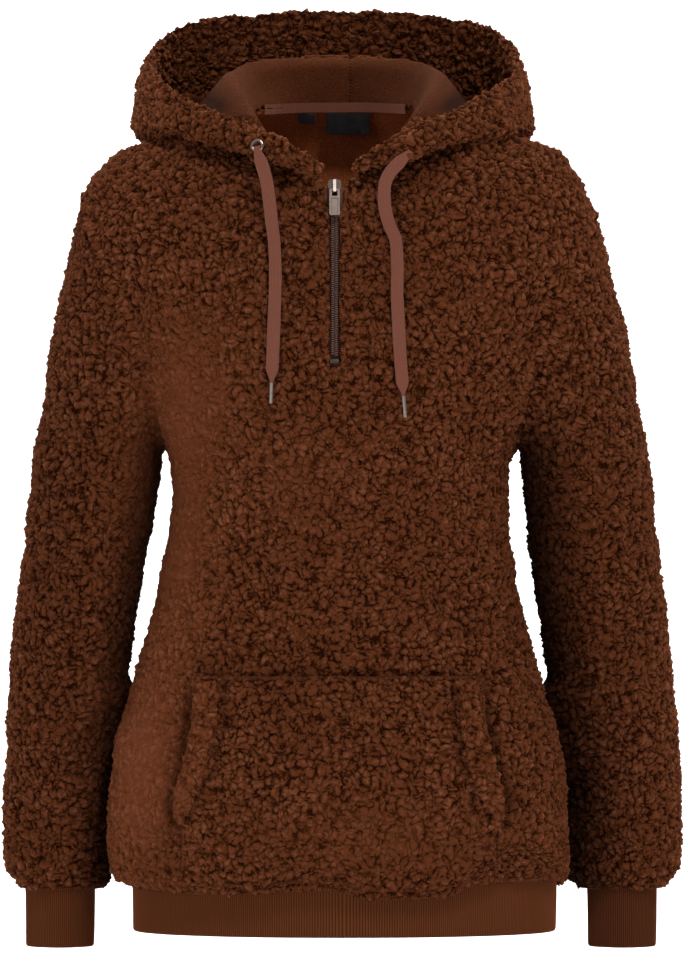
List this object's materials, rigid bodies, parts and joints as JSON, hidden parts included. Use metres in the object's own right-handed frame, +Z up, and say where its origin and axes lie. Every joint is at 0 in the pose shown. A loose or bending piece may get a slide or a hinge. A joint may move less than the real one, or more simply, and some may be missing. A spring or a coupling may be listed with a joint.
{
  "type": "sherpa fleece pullover",
  "caption": "Long-line hooded pullover in curly sherpa fleece with a half zip, flat drawcords, a front pocket and ribbed hem and cuffs.",
  "frame": {"origin": "middle of the neck opening between the shoulders, where the wearer carries it", "axes": "+Z up, the front faces -Y, +X towards the garment's own left arm, which is the picture's right"},
  "size_m": [0.6045, 0.3288, 0.8398],
  "materials": {
    "fleece": "curly sherpa pile, matt",
    "rib": "fine rib knit",
    "tape": "woven tape",
    "cord": "flat woven cord",
    "label": "bare satin",
    "coil": "semi-matt",
    "gunmetal": "dark brushed",
    "nickel": "polished"
  },
  "bodies": {
    "garment": {"front": "fleece", "front_lower": "fleece", "back_left": "fleece", "back_right": "fleece", "back_yoke": "fleece", "sleeve_left": "fleece", "sleeve_left_lower": "fleece", "sleeve_right": "fleece", "sleeve_right_lower": "fleece", "hood_left": "fleece", "hood_right": "fleece", "pocket": "fleece", "pocket_welt_left": "fleece", "pocket_welt_right": "fleece", "hem_band": "rib", "cuff_left": "rib", "cuff_right": "rib", "zip_tape_left": "tape", "zip_tape_right": "tape", "neck_tape": "tape", "zip_coil": "coil", "zip_slider": "gunmetal", "zip_bottom_stop": "gunmetal", "label_main": "label", "label_size": "label", "eyelet_left": "nickel", "eyelet_right": "nickel", "aglet_left": "nickel", "aglet_right": "nickel", "drawcord_left": "cord", "drawcord_right": "cord"},
    "pull_tab": {"zip_pull": "gunmetal"}
  },
  "joints": [
    {"name": "zip_pull_hinge", "type": "hinge", "parent": "garment", "child": "pull_tab", "pos_m": [-0.0055, -0.10633, -0.08356], "axis": [-1, 0, 0], "range_deg": [0, 140]}
  ]
}
